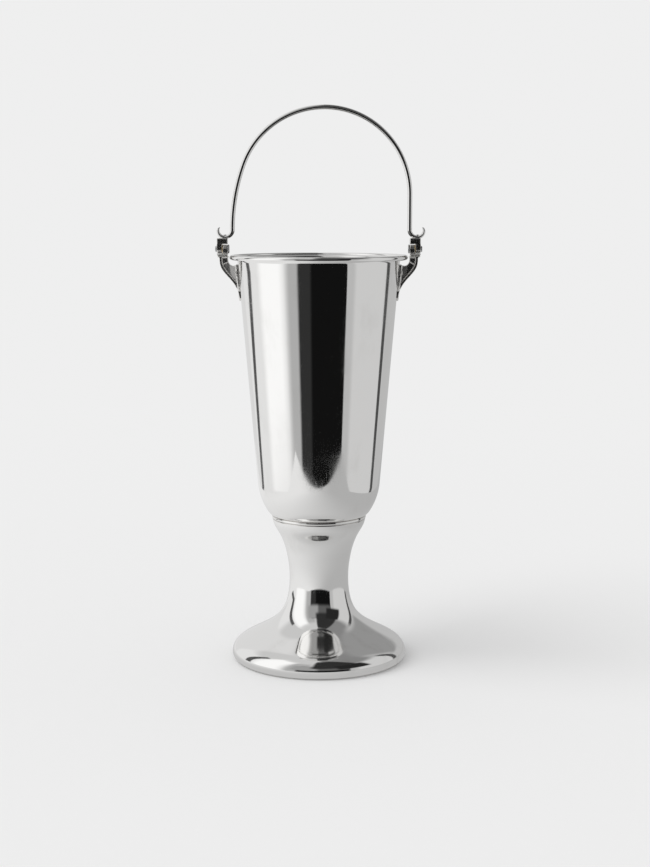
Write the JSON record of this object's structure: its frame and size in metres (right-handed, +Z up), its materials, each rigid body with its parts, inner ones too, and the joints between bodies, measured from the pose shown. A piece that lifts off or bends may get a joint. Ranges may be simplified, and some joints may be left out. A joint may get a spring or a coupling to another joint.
{
  "type": "champagne bucket stand",
  "caption": "Tall tapered metal wine cooler on a waisted pedestal foot, with a bail handle that swings on two cast side brackets and ends in open hooks.",
  "frame": {"origin": "middle of the felt face that the stand rests on, on the bucket's axis", "axes": "+Z up along the bucket's axis, X along the two hinge pins, -Y towards the front"},
  "size_m": [0.2352, 0.2, 0.6283],
  "materials": {
    "polished_plate": "mirror polished plate with fine wear",
    "cast_plate": "plated casting, polished on its edges and dull in its hollows",
    "plain_steel": "turned or pressed, plain",
    "plain_brass": "turned, plain",
    "cast_weight": "rough cast",
    "felt": "pressed felt"
  },
  "bodies": {
    "stand": {"bucket_shell": "polished_plate", "rim_moulding": "polished_plate", "neck_ring": "polished_plate", "pedestal_shell": "polished_plate", "base_felt": "felt", "base_plate": "plain_steel", "ballast_weight": "cast_weight", "bucket_boss": "plain_brass", "tie_rod": "plain_steel", "base_washer": "plain_steel", "base_nut": "plain_steel", "bracket_left": "cast_plate", "bracket_right": "cast_plate", "bracket_rivets_left": "polished_plate", "bracket_rivets_right": "polished_plate", "hinge_pin_left": "plain_steel", "hinge_pin_right": "plain_steel", "hinge_shim_left": "plain_brass", "hinge_shim_right": "plain_brass"},
    "bail": {"bail_bar": "polished_plate", "bail_knuckle_left": "cast_plate", "bail_knuckle_right": "cast_plate", "bail_rivet_left": "polished_plate", "bail_rivet_right": "polished_plate"}
  },
  "joints": [
    {"name": "bail_swing", "type": "hinge", "parent": "stand", "child": "bail", "pos_m": [0, 0, 0.4697], "axis": [1, 0, 0], "range_deg": [-90, 90]}
  ]
}
